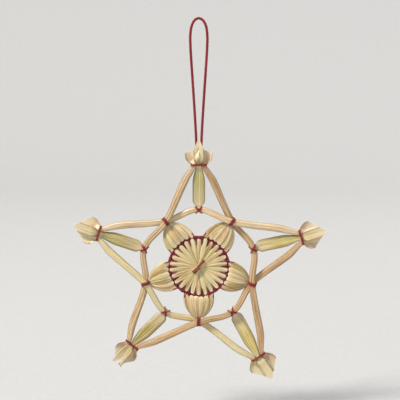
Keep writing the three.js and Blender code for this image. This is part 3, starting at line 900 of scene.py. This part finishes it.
def vertex_tie(arm):
    """Thread round two long straws where they cross."""
    angle = arm_angle(arm) + ARM_STEP / 2
    half_length = RING_WIDTH / 2 + THREAD / 2 + 0.05 * MM
    half_depth = CROSSING_DEPTH + STRAW_THICKNESS / 2 + THREAD / 2
    centre = star_point(angle, VERTEX_RADIUS)
    out, aside = star_vector(angle, 1), star_vector(angle, 0, 1)
    shell = Shell()
    turns = wrap(centre, out, aside, half_length, half_depth, turns=3.1, pitch=TIE_PITCH,
                 squareness=3.0)
    twisted_thread(shell, turns, THREAD)
    shell.make(f"tie_vertex_{arm + 1}", RED_THREAD, [f"vertex_tie_{arm + 1}"])


def stitch(shell, angle, aside, inner, outer, lean):
    """A loop of thread round the rim, down between two splints and up again behind them."""
    t = np.linspace(0, 1, 44)
    a, b = oval(2 * math.pi * t, 3.2)
    out = (inner + outer) / 2 + a * (outer - inner) / 2
    line = np.array([
        star_point(angle, q, aside + lean * w, -STITCH_DEPTH * w) for q, w in zip(out, b)
    ])
    twisted_thread(shell, line, THREAD)


def rim_thread():
    """Thread laid round the rosette's rim and looped in between its blades and the fans."""
    shell = Shell()
    middle = (ROSETTE_RADIUS + FAN_END_RADIUS) / 2
    turn = np.linspace(0, 1, ROSETTE_BLADES * 14) - 0.5 / ROSETTE_BLADES
    for aside, depth, wave in RIM_STRANDS:
        line = []
        for t in turn:
            inwards = wave * MM * math.cos(2 * math.pi * ROSETTE_BLADES * t)
            line.append(star_point(90 + 360 * t, middle + aside * MM - inwards, 0, depth * MM))
        twisted_thread(shell, np.array(line), THREAD)
    for k in range(ROSETTE_BLADES):
        angle = 90 + 360 * (k + 0.5) / ROSETTE_BLADES + rng.uniform(-1, 1)
        lean = rng.uniform(-0.15, 0.15) * MM
        stitch(shell, angle, 0, ROSETTE_RADIUS - 1.3 * MM, middle + THREAD, lean)
    for arm in range(ARMS):
        angle = arm_angle(arm) + ARM_STEP / 2
        for k in range(FAN_SPLINTS + 1):
            aside = k * FAN_PITCH - FAN_WIDTH / 2 + rng.uniform(-0.06, 0.06) * MM
            end = math.sqrt(FAN_END_RADIUS ** 2 - aside ** 2)
            inner = math.sqrt(middle ** 2 - aside ** 2) - THREAD
            stitch(shell, angle, aside, inner, end + 0.85 * MM, 0)
    shell.make("thread_rim", RED_THREAD, ["rim_thread"])


def centre_stitch():
    """Thread through the rosette's middle and over its front and back."""
    out, aside = star_vector(STITCH_TILT, 1), star_vector(STITCH_TILT, 0, 1)
    low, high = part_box("rosette")
    half_depth = (high[1] - low[1]) / 2 + THREAD / 2
    shell = Shell()
    turns = wrap(CENTRE, out, aside, STITCH_LENGTH / 2 - THREAD / 2, half_depth, turns=2.2,
                 pitch=STITCH_THREAD, squareness=4.0, phase=math.pi / 2)
    twisted_thread(shell, turns, STITCH_THREAD)
    shell.make("stitch_centre", RED_THREAD, ["centre_stitch"])


def hanging_loop():
    """The loop's two strands, from the knot up to where they meet at the top."""
    left = [(-x * MM, y * MM, z * MM) for x, y, z in LOOP_ROUTE]
    right = [(x * MM, y * MM, z * MM) for x, y, z in LOOP_ROUTE][::-1]
    route, _ = smooth_line([*left, (0, 0, LOOP_THREAD / 2), *right], 10)
    shell = Shell()
    twisted_thread(shell, route, LOOP_THREAD, sides=8, plies=3)
    piece = shell.make("loop_thread", RED_THREAD, ["hanging_loop"])


def loop_knot():
    """The knot, the strands that run into it from the loop, and its hitch round the tie."""
    centre = middle_of("loop_knot")
    shell = Shell()
    twisted_thread(shell, small_knot(centre, 1.3 * MM, RIGHT, UP), LOOP_THREAD * 0.8, sides=8)
    x, y, z = (length * MM for length in LOOP_ROUTE[0])
    for hand in (-1, 1):
        into_knot = [(hand * x, y, z), (hand * x * 0.9, y, z - 0.35 * MM), tuple(centre)]
        strand, _ = smooth_line(into_knot, 8)
        twisted_thread(shell, strand, LOOP_THREAD, sides=8, plies=3)
        outwards = unit(np.array([hand, 0.25, -0.9]))
        loose = tail(centre + RIGHT * hand * 0.3 * MM, outwards, 2.2 * MM, 0.5 * MM)
        twisted_thread(shell, loose, THREAD)
    # The hitch passes between the middle straw and the back of the outer tie.
    front = MIDDLE_THICKNESS / 2 + THREAD * 0.45
    behind = np.array([centre[0], (front + centre[1]) / 2, centre[2]])
    hitch = wrap(behind, UP, RIGHT, 0.58 * MM, (centre[1] - front) / 2, turns=2.0, pitch=THREAD,
                 squareness=2.2)
    twisted_thread(shell, hitch, THREAD)
    shell.make("knot_loop", RED_THREAD, ["loop_knot"])


hanging_loop()
loop_knot()
for number in range(ARMS):
    long_straw(number)
    middle_straw(number)
    fan(number)
    outer_tie(number)
    mid_tie(number)
    vertex_tie(number)
rosette()
rim_thread()
centre_stitch()


# Floor and light


def make_floor():
    """A pale floor that sweeps up behind the star into a plain backdrop."""
    z = CAD_BOX[0][2] - FLOOR_DROP
    turn = np.linspace(0, math.pi / 2, 17)
    profile = [(-FLOOR_REACH, z), *zip(BACKDROP_DISTANCE + BACKDROP_CURVE * np.sin(turn),
                                       z + BACKDROP_CURVE * (1 - np.cos(turn)))]
    profile.append((profile[-1][0], z + FLOOR_REACH))
    points = [(x, y, height) for y, height in profile for x in (-FLOOR_REACH, FLOOR_REACH)]
    faces = [(2 * i, 2 * i + 1, 2 * i + 3, 2 * i + 2) for i in range(len(profile) - 1)]
    mesh = bpy.data.meshes.new("floor")
    mesh.from_pydata([tuple(map(float, p)) for p in points], [], faces)
    mesh.polygons.foreach_set("use_smooth", [True] * len(faces))
    floor = bpy.data.objects.new("floor", mesh)
    bpy.context.collection.objects.link(floor)
    n = Nodes("pale floor")
    place = n.add("ShaderNodeTexCoord").outputs["Object"]
    speck = n.noise(place, scale=900)
    colour = n.ramp(speck, [(0.3, (0.41, 0.41, 0.413)), (0.7, (0.44, 0.44, 0.44))])
    n.link(colour, n.shader.inputs["Base Color"])
    n.shader.inputs["Roughness"].default_value = 0.9
    mesh.materials.append(n.material)


def make_light(name, place, target, size, power, colour):
    data = bpy.data.lights.new(name, "AREA")
    data.shape = "DISK"
    data.size = size
    data.energy = power
    data.color = colour
    light = bpy.data.objects.new(name, data)
    light.location = place
    light.rotation_mode = "QUATERNION"
    light.rotation_quaternion = (Vector(target) - Vector(place)).to_track_quat("-Z", "Y")
    bpy.context.collection.objects.link(light)


def make_world():
    world = bpy.data.worlds.new("studio")
    world.use_nodes = True
    background = world.node_tree.nodes["Background"]
    background.inputs["Color"].default_value = (0.93, 0.94, 0.95, 1)
    background.inputs["Strength"].default_value = 0.3
    bpy.context.scene.world = world


make_floor()
make_world()
for name, place, target, size, power, colour in LIGHTS:
    make_light(name, CENTRE + np.array(place), CENTRE + np.array(target), size, power, colour)
